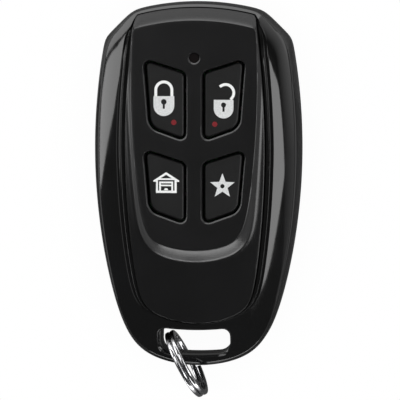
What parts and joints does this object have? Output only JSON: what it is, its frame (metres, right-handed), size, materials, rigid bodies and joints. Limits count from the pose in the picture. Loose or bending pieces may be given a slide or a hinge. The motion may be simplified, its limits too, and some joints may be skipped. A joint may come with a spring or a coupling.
{
  "type": "alarm key fob",
  "caption": "Slim rounded remote key fob with a gloss case, a raised satin deck of slanted rubber keys, a lamp window and a split ring through a slot in its tail.",
  "frame": {"origin": "middle of the flat back, halfway along the case", "axes": "+Z out of the key face, +Y towards the end away from the key ring, +X to the right when the keys face the viewer"},
  "size_m": [0.0352, 0.0675, 0.0128],
  "materials": {
    "gloss_case": "polished black",
    "satin_panel": "fine satin black",
    "rear_shell": "fine spark texture, black",
    "lamp_window": "smoked",
    "key_rubber": "soft matte black",
    "board_green": "solder mask",
    "cell_steel": "nickel plated",
    "contact_metal": "tinned spring bronze",
    "lamp_body": "clear red",
    "chip_black": "moulded black",
    "can_metal": "drawn can",
    "part_ceramic": "fired ceramic",
    "antenna_copper": "bare copper wire",
    "screw_steel": "zinc plated",
    "switch_metal": "stamped cover",
    "plunger_plastic": "moulded",
    "chrome_ring": "bright plated"
  },
  "bodies": {
    "case": {"front_bezel": "gloss_case", "front_panel": "satin_panel", "rear_cover": "rear_shell", "lamp_lens": "lamp_window", "key_web": "key_rubber", "circuit_board": "board_green", "coin_cell": "cell_steel", "positive_clip": "contact_metal", "negative_contact": "contact_metal", "indicator_lamp": "lamp_body", "control_chip": "chip_black", "radio_chip": "chip_black", "crystal_can": "can_metal", "chip_parts": "part_ceramic", "loop_antenna": "antenna_copper", "case_screws": "screw_steel", "lock_switch": "switch_metal", "unlock_switch": "switch_metal", "garage_switch": "switch_metal", "star_switch": "switch_metal"},
    "lock_key": {"lock_button": "key_rubber", "lock_plunger": "plunger_plastic"},
    "unlock_key": {"unlock_button": "key_rubber", "unlock_plunger": "plunger_plastic"},
    "garage_key": {"garage_button": "key_rubber", "garage_plunger": "plunger_plastic"},
    "star_key": {"star_button": "key_rubber", "star_plunger": "plunger_plastic"},
    "ring": {"key_ring": "chrome_ring"}
  },
  "joints": [
    {"name": "lock_press", "type": "slide", "parent": "case", "child": "lock_key", "axis": [0, 0, -1], "range_m": [0, 0.0005], "stiffness_N_per_m": 800, "springref_m": -0.0005},
    {"name": "unlock_press", "type": "slide", "parent": "case", "child": "unlock_key", "axis": [0, 0, -1], "range_m": [0, 0.0005], "stiffness_N_per_m": 800, "springref_m": -0.0005},
    {"name": "garage_press", "type": "slide", "parent": "case", "child": "garage_key", "axis": [0, 0, -1], "range_m": [0, 0.0005], "stiffness_N_per_m": 800, "springref_m": -0.0005},
    {"name": "star_press", "type": "slide", "parent": "case", "child": "star_key", "axis": [0, 0, -1], "range_m": [0, 0.0005], "stiffness_N_per_m": 800, "springref_m": -0.0005},
    {"name": "ring_swing", "type": "hinge", "parent": "case", "child": "ring", "pos_m": [-0.0023, -0.0301, 0.00635], "axis": [1, 0, 0], "range_deg": [-25, 40]}
  ]
}
